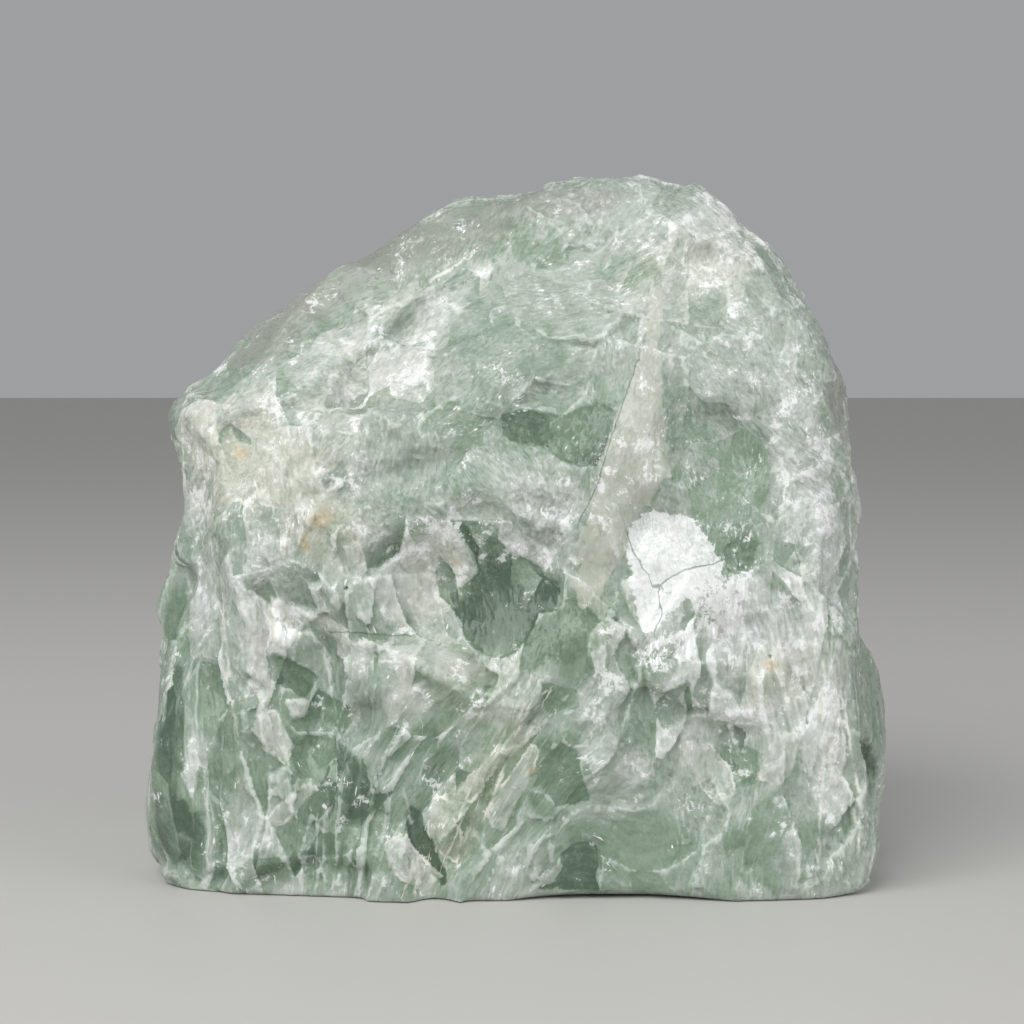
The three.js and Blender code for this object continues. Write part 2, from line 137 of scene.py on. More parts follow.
FROST = {
    "shoulder": (-22, 93, 10.5, 5, -18, 1.0),
    "shoulder streak": (-32, 96, 12, 4.5, -38, 0.6),
    "left face": (-45.5, 76.5, 11, 11.5, 0, 0.55),
    "left edge": (-56, 79, 4.5, 8, 0, 0.8),
    "left face's foot": (-34.5, 69, 8.5, 7, 0, 0.3),
    "shoulder middle": (-8, 96.5, 7.5, 7, 0, 0.1),
    "crest": (32.5, 113.5, 11.5, 9, 0, 0.8),
    "crest left": (20, 119.5, 9, 4.5, 0, 0.2),
    "right slope": (43.5, 96, 4.5, 13, -25, 0.55),
    "right band": (49, 70, 4.5, 15.5, -14, 0.7),
    "right ridge": (53, 68, 3.5, 20, -5, 0.8),
    "right cheek": (44, 47, 12.5, 8.5, 0, 1.0),
    "below the cheek": (34.5, 36.5, 7.5, 5, 0, 0.5),
    "glittering patch": (36.5, 51, 6, 5, 0, 1.0),
    "lower ridge": (53, 30, 4, 18, -3, 0.7),
    "knot": (5.5, 68.5, 7.5, 5, 0, 0.5),
    "white knot": (5.5, 68, 2, 1.5, 0, 1.3),
    "left middle": (-16, 57, 8, 8, 0, 0.9),
    "below the window": (-13.5, 43, 9.5, 4.5, 0, 0.6),
    "left band": (-54.5, 52, 4, 14, 0, 0.7),
    "pocket wall": (-44.5, 37, 2, 13.5, -3, 0.9),
    "fan left": (-21, 12.5, 4, 7.5, 20, 0.15),
    "mirror's foot": (23, 46, 7.5, 4, 0, 0.4),
    "right foot": (49.5, 12.5, 5, 8.5, 0, 0.3),
    # Partly the stone's frost, partly painted light laid on thickly to lift the shadow under the
    # ledge above.
    "left of the window": (-14, 60.5, 9, 6, 0, 1.0),
    "over the ledge": (-29, 42, 3.5, 4, 0, 0.6),
    "left of the middle": (-18, 33.5, 5, 5, 0, 0.8),
    "under the foil": (34, 46, 6, 4, 0, 0.9),
    "right of the middle": (31, 27, 7, 5, 0, 0.45),
    "lower left": (-46, 14, 5, 7, 0, 0.6),
    "left rim": (-57, 69, 3.5, 8, 0, 1.0),
    "shoulder left": (-30, 90, 5, 5, 0, 1.0),
    "upper streak": (-12, 104, 8, 3, -30, 0.7),
    "under the shoulder": (-27, 74, 6, 5, 0, 0.5),
    "left panel": (-47, 47, 4, 6, 0, 0.6),
    "beside the fan": (-9, 28, 4, 5, 20, 0.5),
    "vein": (20.5, 78, 3, 12, 10, 0.25),
    "ridge top": (46.5, 34, 4, 6, 0, 0.6),
    "left of the vein's foot": (8, 60, 4, 5, 0, 0.6),
    "under the knot": (2, 60.5, 7, 4.5, 30, 0.9),
    "middle of the left face": (-45, 61, 6, 7, 0, 0.7),
    "left ridge": (-56, 25, 3.5, 8, 0, 0.9),
    # Partly the stone's frost, partly painted light lifting the shadow under the lip of the hollow.
    "top of the scoop": (38, 90, 8, 6, 0, 0.5),
    "under the cheek": (41, 32.5, 8, 4, 0, 1.0),
    "right of the fan": (21, 24, 4, 5, 0, 0.6),
    "left toe": (-49.5, 8, 5, 5, 0, 1.0),
    "left of the wedge": (-18, 18, 3, 5, 0, 0.6),
    "left of the knot": (-23, 63.5, 6, 5, 0, 1.0),
    "beside the knot": (13, 70, 5, 4, 0, 0.7),
    "beside the mirror": (40, 51, 4, 6, 0, 1.3),
    "under the vein": (13, 37, 5, 4, 0, 0.6),
}

BEIGE = {
    "left face": (-45, 75.5, 14.5, 11.5, 10, 0.9),
    "stained face": (-34, 66, 10.5, 7, 0, 0.7),
    "shoulder": (-27, 87.5, 15.5, 7.5, -25, 0.35),
    "beside the window": (-13, 53, 6, 10.5, 0, 0.5),
    "lower middle": (-8, 37, 11.5, 7, 0, 0.55),
    "fan": (-4.5, 21.5, 4, 19, 32, 0.75),
    "right cheek": (44, 39, 7.5, 6, 0, 0.6),
    "crest": (29.5, 111, 10.5, 7.5, 0, 0.5),
    "under the vein": (12.5, 49.5, 7, 8, 0, 0.3),
    "top band": (-23, 112, 31, 7, -30, 0.4),
}

STAINS = {
    "left one": (-48.5, 78, 2, 2, 0, 1.0),
    "middle one": (-34, 66.5, 3.5, 2.5, -30, 1.0),
    "under the middle one": (-36.5, 62.5, 1.5, 2.5, 0, 0.7),
    "centre one": (-10.5, 59, 1.5, 1.5, 0, 0.8),
    "right one": (44.5, 41, 2, 1.5, 0, 0.8),
    "foot one": (2.5, 23, 1.5, 1, 0, 0.9),
}

# Painted shade: the top band, the crest and the right edge, which face away from the light, are laid
# over with a darker grey.
PAINTED_SHADE = {
    "top band left": (-41, 100.5, 16, 5, -38, 1.0),
    "top band": (-16, 115.5, 19, 5, -20, 1.0),
    "crest": (8, 122.5, 12, 3.5, -5, 1.0),
    "right edge": (58, 86, 3.5, 12, -10, 1.0),
}

# Where the stone glitters: these patches are made metallic and calmer, and painted glitter and
# glints are laid on them in white.
SHINE = {
    "glittering patch": (35.5, 51.5, 6, 6.5, 0, 1.0),
    "foil's tail": (26, 44, 7, 3.5, -25, 0.8),
    "glint": (-40, 48, 2.5, 4.5, 0, 1.0),
    "white knot": (5.5, 68, 1.8, 1.5, 0, 1.0),
    "lower glint": (-7, 35, 1.5, 3.5, 20, 0.7),
}

# The pale vein: middle of its line as it runs down the face, as (x, z, half width), and the
# crack along its left edge.
VEIN = [
    (24.7, 106, 0.8), (23.7, 98.5, 1.7), (22.8, 93, 2.1), (22, 88, 3.1), (21.2, 81, 5.3),
    (20.3, 74.5, 5.8), (18, 69.5, 5), (15, 62.5, 4.4), (13.3, 57, 4.4), (12, 52, 3),
]
VEIN_FADE = (63, 50)  # the vein breaks up between these heights
VEIN_THINNED = 0.6  # and loses this share of its half width
VEIN_CRACK = [(21.2, 94.5), (19.8, 90.5), (17, 83), (15.4, 78), (13.9, 72.5), (10.9, 66.5)]

# The mirror face, which is painted near white as a reflection of the light, and the cracks across
# it, as (x, z) points.
MIRROR = [
    (20.6, 67.2), (23.8, 68.2), (29.9, 67.2), (33.7, 62.2), (35.8, 58.7), (34.4, 53.7), (29.9, 52.7),
    (26.2, 50.2), (23.9, 47.2), (21.3, 47.5), (20.6, 53.7), (19.2, 58.7), (19.5, 64.2),
]
CRACKS = [
    VEIN_CRACK,
    [(19.3, 64.2), (20.3, 61), (23.1, 56), (24.7, 53), (25.2, 50.4), (24, 47.8)],
    [(24.2, 54.4), (26.6, 56.7), (30.6, 58.4), (33.5, 58.8), (36, 59.7)],
    # This last line is painted shadow: the dark line over the ledge.
    [(-32.3, 46.7), (-27, 46.9), (-18.4, 45.8)],
]

# Clear green panes with crisp borders: strength, then the outline as (x, z) points.
PANES = {
    "hollow by the vein": (0.8, [
        (-3, 80.5), (-2.5, 85), (2.5, 86), (7.5, 84.5), (12, 86.5), (15, 87), (17.5, 85.5),
        (16.5, 82), (15, 78), (14, 76), (10, 75.5), (8, 76.5), (5, 78.5), (0.5, 79.5),
    ]),
    "centre window": (1, [
        (-11.5, 66.5), (-3, 66.5), (-3, 63), (-1, 61), (4, 58.5), (5.5, 56.5), (8, 56), (8, 54),
        (7, 50.5), (4, 50), (3, 47.5), (0, 43.5), (-3, 42), (-6.5, 43), (-9, 45.5), (-10.5, 48.5),
        (-12, 51.5), (-12.5, 53.5), (-9, 55), (-7, 57), (-8, 60),
    ]),
    "dark pocket": (1, [
        (-44, 43.5), (-41, 42.5), (-36.5, 40), (-35, 38.5), (-36, 36), (-36.5, 34.5), (-38.5, 35),
        (-39.5, 36.5), (-42, 37), (-43, 37.5),
    ]),
    "pocket's middle": (0.95, [
        (-36.5, 34), (-35, 36.5), (-32.5, 35), (-29, 33.5), (-29, 31), (-30.5, 28.5), (-33.5, 29),
        (-38.5, 29), (-40, 31), (-37.5, 31.5),
    ]),
    "pocket's foot": (0.65, [
        (-37.5, 28.5), (-31.5, 28), (-31, 25), (-33.5, 23), (-36, 22), (-38, 24),
    ]),
    "over the pocket": (0.3, [
        (-38, 48), (-34, 47), (-32, 43.5), (-33, 41.5), (-37, 41.5), (-38, 44.5),
    ]),
    "lower left": (0.9, [
        (-36, 19.5), (-31, 21), (-30.5, 18.5), (-32.5, 16.5), (-34.5, 14), (-37, 15),
    ]),
    "left of the fan": (0.8, [
        (-30, 15), (-27, 18.5), (-20.5, 19.5), (-24, 16.5), (-27, 12.5), (-31.5, 13),
    ]),
    "lower left foot": (0.7, [
        (-37.5, 9), (-34.5, 12), (-29, 12), (-27, 10), (-30, 8), (-35, 6.5), (-38, 6.5),
    ]),
    "left toe": (0.75, [(-50, 4), (-46.5, 7.5), (-41, 7.5), (-40.5, 5), (-45, 2.5), (-48, 1)]),
    # Painted shadow: the gap in the fan is laid in the darkest green where it lies in shade.
    "gap in the fan": (1, [
        (-18.5, 17), (-16.5, 15.5), (-16, 12.5), (-14, 8.5), (-12, 5), (-13, 2), (-15.5, 5.5),
        (-18, 9.5), (-19.5, 12.5),
    ]),
    "fan's top": (0.75, [(4, 39), (7, 38.5), (11, 37.5), (11, 34), (8, 33.5), (5, 32.5), (4, 36)]),
    "fan's hollow": (0.85, [
        (3.5, 24), (7.5, 28.5), (10.5, 27), (11.5, 22.5), (13, 18), (10, 17), (7, 17), (5.5, 19),
        (2.5, 20),
    ]),
    "fan's left gap": (0.55, [
        (-9.5, 17.5), (-6.5, 21), (-3, 26.5), (-1.5, 25.5), (-4.5, 20), (-7.5, 15.5),
    ]),
    "dark foot": (1, [
        (7.5, 8.5), (9.5, 10.5), (13, 11), (14.5, 9.5), (15, 7), (14.5, 4), (14.5, 1.5), (3.5, 1.5),
        (3.5, 2.5), (6.5, 3.5), (7.5, 6),
    ]),
    "right foot": (0.6, [(19.5, 5), (23.5, 6), (25.5, 4), (27, 1.5), (20, 1.5)]),
    "under the mirror": (0.65, [
        (24, 34.5), (25.5, 37), (30, 39), (31, 32.5), (28, 31), (25.5, 30), (24, 32.5),
    ]),
    "right toe": (0.6, [(35.5, 26.5), (39.5, 27), (42.5, 26), (42, 20.5), (40, 19), (37.5, 22.5)]),
    "scoop's foot": (0.8, [
        (35.5, 61.5), (40, 64.5), (42.5, 62), (42, 58.5), (39, 56.5), (36.5, 57.5),
    ]),
}

# Pale flakes that stand out of the face.
SLABS = {
    # The bright chip is also painted white over its pale colour: a painted highlight where it
    # catches the light.
    "bright chip": (1.7, [
        (-43, 53), (-41, 52.5), (-40.5, 49), (-38, 45.5), (-40, 43.5), (-42.5, 45), (-43, 48.5),
    ]),
    "curved flake": (0.9, [
        (-36.5, 50), (-32.5, 49), (-29.5, 47), (-29, 44), (-30.5, 41), (-32, 42.5), (-32, 45),
        (-34, 47.5),
    ]),
    "lumps": (0.8, [
        (-45.5, 32.5), (-42, 33), (-40.5, 30), (-39, 27), (-40.5, 23.5), (-44, 25.5), (-46, 29.5),
    ]),
    "small lump": (0.9, [(-41, 35), (-36.5, 35), (-37, 31.5), (-39.5, 31.5)]),
    "pale ridge": (0.6, [
        (-48, 52.5), (-45.5, 51.5), (-44.5, 43.5), (-42.5, 35.5), (-44, 33), (-46.5, 36.5),
        (-47, 44),
    ]),
    "left toe": (0.5, [
        (-44.5, 13.5), (-39.5, 18.5), (-36, 21.5), (-35, 19.5), (-37.5, 16), (-41, 13),
    ]),
    "fan's flake": (0.4, [(-12, 18), (-7, 23), (0.5, 31.5), (4, 30.5), (-3, 23.5), (-8, 17.5)]),
    "fan's slab": (0.5, [
        (-5, 16.5), (-1, 22.5), (2.5, 27.5), (4, 27), (2.5, 22), (-2, 12.5), (-4.5, 12.5),
    ]),
    "fan's foot": (0.25, [
        (-15.5, 12.5), (-14.5, 17.5), (-12.5, 18), (-9.5, 11.5), (-10.5, 6.5), (-13.5, 8.5),
    ]),
    "bottom slab": (0.6, [
        (-23, 10.5), (-20, 12), (-17, 7.5), (-13, 4), (-15.5, 1.5), (-20, 4), (-22.5, 7),
    ]),
    "ledge": (0.7, [(-29, 45), (-21.5, 45.5), (-22, 44), (-26, 43.5)]),
    "right slab": (0.6, [(43, 30), (49.5, 29), (48.5, 23), (46, 20), (42.5, 21.5)]),
    "arched slab": (0.5, [
        (29.5, 27.5), (34.5, 26.5), (37.5, 22), (38.5, 18.5), (35.5, 16.5), (33, 19), (30, 23.5),
    ]),
    "pane of the cheek": (0.5, [
        (49.5, 59.5), (53, 52.5), (56, 38.5), (57.5, 24.5), (56, 17.5), (54, 28), (51.5, 42),
    ]),
}

# Thin pale lines where flakes end: painted highlight where the edges catch the light.
EDGES = [
    [(-53, 66.5), (-52.5, 53), (-50.5, 37), (-49.5, 28.5)],
    [(5.5, 37), (-2, 24), (-9, 9)],
    [(1, 35), (-6.5, 20.5), (-12.5, 7)],
    [(-20.5, 19.5), (-18.5, 11), (-19.5, 4)],
    [(-29, 41.5), (-19.5, 42.5), (-18, 35.5)],
    [(49, 59.5), (52, 46), (54, 28.5), (53, 7.5)],
    [(55, 53), (57, 35.5), (59.5, 18), (60, 7.5)],
    [(-35.5, 92), (-24, 102.5), (-11, 111)],
    [(-29.5, 88.5), (-15.5, 100.5), (-8, 104.5)],
]

FRONT_DEPTH = (6, -14)  # the marks fade in between these depths along Y
FAR = 50  # distance from any line, for the sides that have none
OUTLINE_REACH = 4  # a border fades over this many millimetres at the most

# The marks on the other sides are scattered: random seed, how many, and their radii in mm.
WILD_WINDOWS = (3, 46, (6, 13))
WILD_FROST = (5, 60, (7, 15))
WILD_BEIGE = (8, 9, (6, 12))
WILD_STRENGTH = (0.5, 1)


def colour_prop(name, description, default):
    return bpy.props.FloatVectorProperty(
        name=name, description=description, default=default, subtype="COLOR"
    )


def number_prop(name, description, default, **kind):
    return bpy.props.FloatProperty(name=name, description=description, default=default, **kind)


class StoneSettings(bpy.types.PropertyGroup):
    """The sizes and colours of the stone. Those of its breaks are in millimetres."""

    facet: number_prop(
        "Finest facet",
        "Spacing of the skin's points before flat parts are thinned out",
        0.55 * MM,
        min=0.3 * MM,
        precision=5,
        unit="LENGTH",
    )
    triangles: bpy.props.IntProperty(
        name="Triangles",
        description="Most triangles that the finished stone has",
        default=196000,
        max=199000,
    )
    grain: number_prop("Grain", "Size of the stone's grains", 13.0)
    flake: number_prop("Flake", "Size of the flakes that a grain is broken into", 5.0)
    chip: number_prop("Chip", "Size of the chips that a flake is broken into", 2.2)
    grit: number_prop("Grit", "Width of the finest, glittering slivers", 0.5)
    relief: number_prop("Relief", "How rough the broken skin is", 1.0, subtype="FACTOR")
    deep: colour_prop("Deep green", "Colour of the clearest windows", (0.08, 0.125, 0.083))
    green: colour_prop("Green", "Colour of the clear stone", (0.2, 0.283, 0.2))
    pale: colour_prop("Pale green", "Colour of the cloudy stone", (0.445, 0.49, 0.44))
    frost: colour_prop("Frost", "Colour of the crushed, frosty stone", (0.78, 0.8, 0.79))
    # Also the colour of painted glints, glitter, the bright chip's highlight and the mirror face's
    # painted reflection.
    spark: colour_prop("Spark", "Colour of the slivers, specks and mirror face", (0.88, 0.9, 0.89))
    beige: colour_prop("Beige", "Colour of the vein", (0.57, 0.575, 0.495))
    # Painted highlight: the colour of the pale lines along flake edges.
    cream: colour_prop("Cream", "Colour of the thin edges of flakes", (0.74, 0.74, 0.66))
    # Painted shade: the darker grey laid on the top band, the crest and the right edge.
    dust: colour_prop("Painted shade", "Colour of the grey painted shade on the top and right edge", (0.34, 0.345, 0.315))
    ochre: colour_prop("Ochre", "Colour of the iron stains", (0.5, 0.36, 0.17))


class StageSettings(bpy.types.PropertyGroup):
    """The floor and the lights."""

    floor: colour_prop("Floor", "Colour of the floor", (0.58, 0.57, 0.545))
    key: number_prop("Key light", "Power of the soft light at the front left", 8.3, unit="POWER")
    fill: number_prop("Fill light", "Power of the soft light at the right", 3.0, unit="POWER")
    studio: colour_prop("Studio", "Colour of the studio around the stone", (0.93, 0.94, 0.96))
    surround: number_prop("Surround", "Brightness of the studio around the stone", 0.37)


# ---------------------------------------------------------------------------------------------
# Node trees written as sums
# ---------------------------------------------------------------------------------------------


class Value:
    """A socket of a node tree. A sum or product of values adds its Math or Vector Math node."""

    def __init__(self, graph, socket):
        self.graph = graph
        self.socket = socket

    def __add__(self, other):
        return self.graph.maths("ADD", self, other)

    def __radd__(self, other):
        return self.graph.maths("ADD", other, self)

    def __sub__(self, other):
        return self.graph.maths("SUBTRACT", self, other)

    def __rsub__(self, other):
        return self.graph.maths("SUBTRACT", other, self)

    def __mul__(self, other):
        return self.graph.maths("MULTIPLY", self, other)

    def __rmul__(self, other):
        return self.graph.maths("MULTIPLY", other, self)


def is_vector(value):
    if isinstance(value, Value):
        return value.socket.type in {"VECTOR", "RGBA"}
    return isinstance(value, (tuple, Color, Vector))


class Graph:
    """Adds nodes to a shader or geometry node tree."""

    def __init__(self, tree):
        self.tree = tree

    def feed(self, socket, value):
        """Links a value to a socket, or sets a number, colour or vector on it."""
        if isinstance(value, Value):
            self.tree.links.new(value.socket, socket)
        elif socket.type in {"VECTOR", "RGBA"} and not is_vector(value):
            socket.default_value = [value] * len(socket.default_value)
        elif socket.type == "RGBA" and len(value) == 3:
            socket.default_value = (*value, 1)
        else:
            socket.default_value = value

    def node(self, kind, settings=None, **values):
        """Adds a node, sets its settings, then its sockets, and gives back its outputs by name."""
        made = self.tree.nodes.new(kind)
        for name, setting in (settings or {}).items():
            setattr(made, name, setting)
        for name, value in values.items():
            socket = next(s for s in made.inputs if s.enabled and s.name.replace(" ", "_") == name)
            self.feed(socket, value)
        return {s.name: Value(self, s) for s in made.outputs if s.enabled}

    def maths(self, operation, *values):
        kind = "ShaderNodeVectorMath" if any(map(is_vector, values)) else "ShaderNodeMath"
        made = self.tree.nodes.new(kind)
        made.operation = operation
        for socket, value in zip(made.inputs, values):
            self.feed(socket, value)
        return Value(self, next(s for s in made.outputs if s.enabled))

    def clamp(self, value):
        return self.node("ShaderNodeClamp", Value=value)["Result"]

    def rise(self, value, low, high):
        """0 below low and 1 above high, smooth between them. It falls if high is the lower."""
        settings = {"interpolation_type": "SMOOTHSTEP"}
        made = self.node("ShaderNodeMapRange", settings, Value=value, From_Min=low, From_Max=high)
        return made["Result"]

    def mix(self, share, a, b):
        kind = "RGBA" if is_vector(a) or is_vector(b) else "FLOAT"
        return self.node("ShaderNodeMix", {"data_type": kind}, Factor=share, A=a, B=b)["Result"]

    def parts(self, vector):
        made = self.node("ShaderNodeSeparateXYZ", Vector=vector)
        return made["X"], made["Y"], made["Z"]

    def vector(self, x, y, z):
        return self.node("ShaderNodeCombineXYZ", X=x, Y=y, Z=z)["Vector"]

    def noise(self, place, size, detail=2.0, roughness=0.5):
        """Cloudy noise about 0.5, and the same as a colour, with lumps of that size."""
        made = self.node(
            "ShaderNodeTexNoise",
            Vector=place,
            Scale=1 / size,
            Detail=detail,
            Roughness=roughness,
        )
        return made.get("Fac") or made["Factor"], made["Color"]

    def cells(self, place, size, feature="F1"):
        return self.node("ShaderNodeTexVoronoi", {"feature": feature}, Vector=place, Scale=1 / size)


# ---------------------------------------------------------------------------------------------
# How the stone is broken: the same pattern shapes the skin and colours it
# ---------------------------------------------------------------------------------------------

# Noises: size of the lumps in mm, levels of detail, and how strong the finer levels are.
CLOUD = (7, 3, 0.6)
BROAD = (22, 2, 0.5)
PATCH = (4.5, 2, 0.6)
LUMPS = (9, 3, 0.5)
FIBRES = (1.6, 2, 0.5)
FINE = (1.7, 5, 0.73)
STRANDS = (0.45, 2, 0.7)

WARPS = [(19, 4.5), (5, 0.5)]  # size of the lumps that bend the pattern, and how far, in mm
COLUMN_TOP = 56  # grains below this height are drawn out into upright columns
COLUMN_STRETCH = 0.5
FAN_TOP = 40  # below this height the flakes in the middle fan down to the left
FAN_SLOPE = 0.6
FAN_REACH = (34, 14)  # the fan fades between these distances from its middle
FAN_MIDDLE = -6
FIBRE_TURN = 1.3  # how far, in radians, the fibres of one grain may be turned from the next
FIBRE_STRETCH = (1, 1, 0.32)
FLAKE_STRETCH = (1, 0.5, 0.45)  # flakes lie along the fibres too, and are less drawn out
FLAKED_BELOW = (74, 48)  # the stone is plainly flaked lower down, and less so above
FLAKED_LEAST = 0.35
PLAINER_EDGE = (-20, 5)  # to the right of here it is flaked less
PLAINER = 0.35
SHOULDER_LEAN = 0.95  # how far, in radians, fibres lean to the right over the shoulder
SHOULDER_EDGE = {"x": (34, 14), "z": (48, 60)}  # that lean fades in over these
SLOPE_LEAN = -0.4
SLOPE_EDGE = {"x": (20, 34), "z": (22, 40)}

GRAIN_RELIEF = (0.3, 0.09)  # step between grains in mm, and the slope of their faces
FLAKE_RELIEF = (0.55, 0.42)
CHIP_RELIEF = (0.08, 0.2)
FIBRE_RELIEF = 0.25
LUMP_RELIEF = 1.2
CALM_SHARE = 0.85  # share of the relief that a smooth face loses
ROUGHER = (0.38, 0.6)  # the relief grows between these values of the broadest noise
ROUGH_LEAST = 0.55  # from this share of it
ROUGH_GROWTH = 0.8  # by this much
STEPS = {"pane": -0.5, "slab": 0.7}  # how far these are set in or out, in mm
STEP_EDGE = (0, 0.12)  # over this share of the distance in from their border
REST_BAND = (0, 3)  # the relief fades in between these heights over the sawn base


def shade(graph, cell):
    """One number from 0 to 1 for each cell."""
    return graph.parts(cell["Color"])[0]


def facet(graph, cell, place, step, slope):
    """Height of a skin whose cells are flat faces, each set back and tilted its own way."""
    tilt = graph.maths("DOT_PRODUCT", place - cell["Position"], cell["Color"] - 0.5)
    return (shade(graph, cell) - 0.5) * step + tilt * slope


def bent_places(graph, place):
    """The place bent by noise, and the same drawn out into columns and a fan lower down."""
    bent = place
    for size, reach in WARPS:
        _, cloud = graph.noise(place, size)
        bent = bent + (cloud - 0.5) * reach
    x, y, z = graph.parts(bent)
    fan = graph.rise(graph.maths("ABSOLUTE", x - FAN_MIDDLE), *FAN_REACH)
    x = x + graph.maths("MAXIMUM", FAN_TOP - z, 0) * fan * FAN_SLOPE
    above = graph.maths("MAXIMUM", z - COLUMN_TOP, 0)
    z = z * COLUMN_STRETCH + above * (1 - COLUMN_STRETCH)
    return bent, graph.vector(x, y, z)


def fibre_places(graph, run, grain):
    """The place turned and drawn out along the fibres of the grain that it is in, for fibres and
    for flakes. They lie along the shoulder and along the slope to its right, upright elsewhere,
    and stray from that."""
    x, _, z = graph.parts(grain["Position"])
    shoulder = graph.rise(x, *SHOULDER_EDGE["x"]) * graph.rise(z, *SHOULDER_EDGE["z"])
    slope = graph.rise(x, *SLOPE_EDGE["x"]) * graph.rise(z, *SLOPE_EDGE["z"])
    lean = graph.vector(0, shoulder * -SHOULDER_LEAN - slope * SLOPE_LEAN, 0)
    turned = graph.node(
        "ShaderNodeVectorRotate",
        {"rotation_type": "EULER_XYZ"},
        Vector=run,
        Rotation=(grain["Color"] - 0.5) * FIBRE_TURN + lean,
    )["Vector"]
    return turned * FIBRE_STRETCH, turned * FLAKE_STRETCH


def flaked_share(graph, run):
    """How plainly the stone is broken into flakes."""
    x, _, z = graph.parts(run)
    share = graph.rise(z * (1 / COLUMN_STRETCH), *FLAKED_BELOW) * (1 - FLAKED_LEAST) + FLAKED_LEAST
    return share * (1 - graph.rise(x, *PLAINER_EDGE) * PLAINER)


def breaking_modifier(stone, sizes):
    """A geometry node group that pushes the skin in and out to the pattern of breaks.

    It writes the bent places on the skin, in millimetres, so that the finish follows the breaks.
    """
    tree = bpy.data.node_groups.new("fluorite breaks", "GeometryNodeTree")
    tree.interface.new_socket("Geometry", in_out="INPUT", socket_type="NodeSocketGeometry")
    tree.interface.new_socket("Geometry", in_out="OUTPUT", socket_type="NodeSocketGeometry")
    graph = Graph(tree)
    skin = graph.node("NodeGroupInput")["Geometry"]
    position = graph.node("GeometryNodeInputPosition")["Position"]
    outward = graph.node("GeometryNodeInputNormal")["Normal"]
    place = position * (1 / MM)
    bent, run = bent_places(graph, place)
    grain = graph.cells(run, sizes.grain)
    fibre, shard = fibre_places(graph, run, grain)
    flake = graph.cells(shard, sizes.flake)
    chip = graph.cells(bent, sizes.chip)
    cloud = graph.noise(bent, *CLOUD)[0]
    broad = graph.noise(place, *BROAD)[0]
    patch = graph.noise(bent, *PATCH)[0]

    def field(name):
        kind = {"data_type": "FLOAT"}
        return graph.node("GeometryNodeInputNamedAttribute", kind, Name=name)["Attribute"]

    height = facet(graph, grain, run, *GRAIN_RELIEF)
    height = height + facet(graph, flake, shard, *FLAKE_RELIEF) * flaked_share(graph, run)
    height = height + facet(graph, chip, bent, *CHIP_RELIEF)
    height = height + (graph.noise(fibre, *FIBRES)[0] - 0.5) * FIBRE_RELIEF
    height = height + (graph.noise(place, *LUMPS)[0] - 0.5) * LUMP_RELIEF
    rough = (1 - field("calm") * CALM_SHARE) * sizes.relief
    rough = rough * (ROUGH_LEAST + graph.rise(broad, *ROUGHER) * ROUGH_GROWTH)
    height = height * rough
    for name, step in STEPS.items():
        height = height + graph.rise(field(name), *STEP_EDGE) * field(name + " depth") * step
    height = height * graph.rise(graph.parts(place)[2], *REST_BAND)
    low, high = SOLID_BOX
    moved = position + outward * (height * MM)
    moved = graph.maths("MINIMUM", graph.maths("MAXIMUM", moved, low), high)

    fields = {
        "bent": ("FLOAT_VECTOR", bent),
        "run": ("FLOAT_VECTOR", run),
        "cloud": ("FLOAT", cloud),
        "broad": ("FLOAT", broad),
        "patch": ("FLOAT", patch),
    }
    for name, (kind, value) in fields.items():
        kept = graph.node(
            "GeometryNodeStoreNamedAttribute",
            {"data_type": kind, "domain": "POINT"},
            Geometry=skin,
            Name=name,
            Value=value,
        )
        skin = kept["Geometry"]
    shaped = graph.node("GeometryNodeSetPosition", Geometry=skin, Position=moved)["Geometry"]
    graph.node("NodeGroupOutput", Geometry=shaped)
    stone.modifiers.new("Breaks", "NODES").node_group = tree


# ---------------------------------------------------------------------------------------------
# The stone's mesh
# ---------------------------------------------------------------------------------------------

WELD = 0.01 * MM  # points of the solid that are closer than this are one
TINY = 1e-9
RIM_PASSES = (2, 10)  # rounds of smoothing that fine and broad edges are measured over
ROUNDING_PASSES = 6  # rounds over the whole stone, and then on inside its hollows
HOLLOW_PASSES = 110
HOLLOW_EDGE = (-0.3, 0.2)  # a hollow fades in between these shares of the way in
CORNER = ((-66, 11, 88), 9)  # the sharp tip of the left shoulder, and how far round it is blunted
CORNER_SHARE = 0.6  # how much of a hollow's smoothing the tip gets
HOLLOWS = {
    "right of the vein": (36, 78, 13, 26, -8, 1),
    "left of the vein": (4, 80.5, 11, 7, -6, 1),
    "centre window": (-2, 54.5, 9, 10, 20, 1),
    "vein": (17, 76, 4, 30, 20, 1),
    "crest": (8, 106, 16, 10, 20, 1),
    "foot": (18, 12, 20, 15, 0, 1),
    "left of the window": (-23, 62, 11, 9, 0, 1),
}

# Where the relief is calm: the values that each mark calms it between, and how much.
CALM = {
    "window": (-0.1, 0.4, 1),
    "pane": (0, 0.2, 1),
    "mirror": (-0.2, 0.2, 1),
    "vein": (-0.1, 0.3, 0.3),
    "shine": (-0.1, 0.2, 0.6),
}


def finished(piece):
    """Puts what a piece's modifiers make in place of its mesh."""
    depsgraph = bpy.context.evaluated_depsgraph_get()
    mesh = bpy.data.meshes.new_from_object(
        piece.evaluated_get(depsgraph),
        preserve_all_data_layers=True,
        depsgraph=depsgraph,
    )
    piece.modifiers.clear()
    old = piece.data
    piece.data = mesh
    bpy.data.meshes.remove(old)


def places(mesh):
    """The mesh's points as rows of X, Y and Z in millimetres."""
    flat = np.empty(len(mesh.vertices) * 3)
    mesh.vertices.foreach_get("co", flat)
    return flat.reshape(-1, 3) / MM


def write_field(mesh, name, values):
    attribute = mesh.attributes.new(name, "FLOAT", "POINT")
    attribute.data.foreach_set("value", values.astype(np.float32))


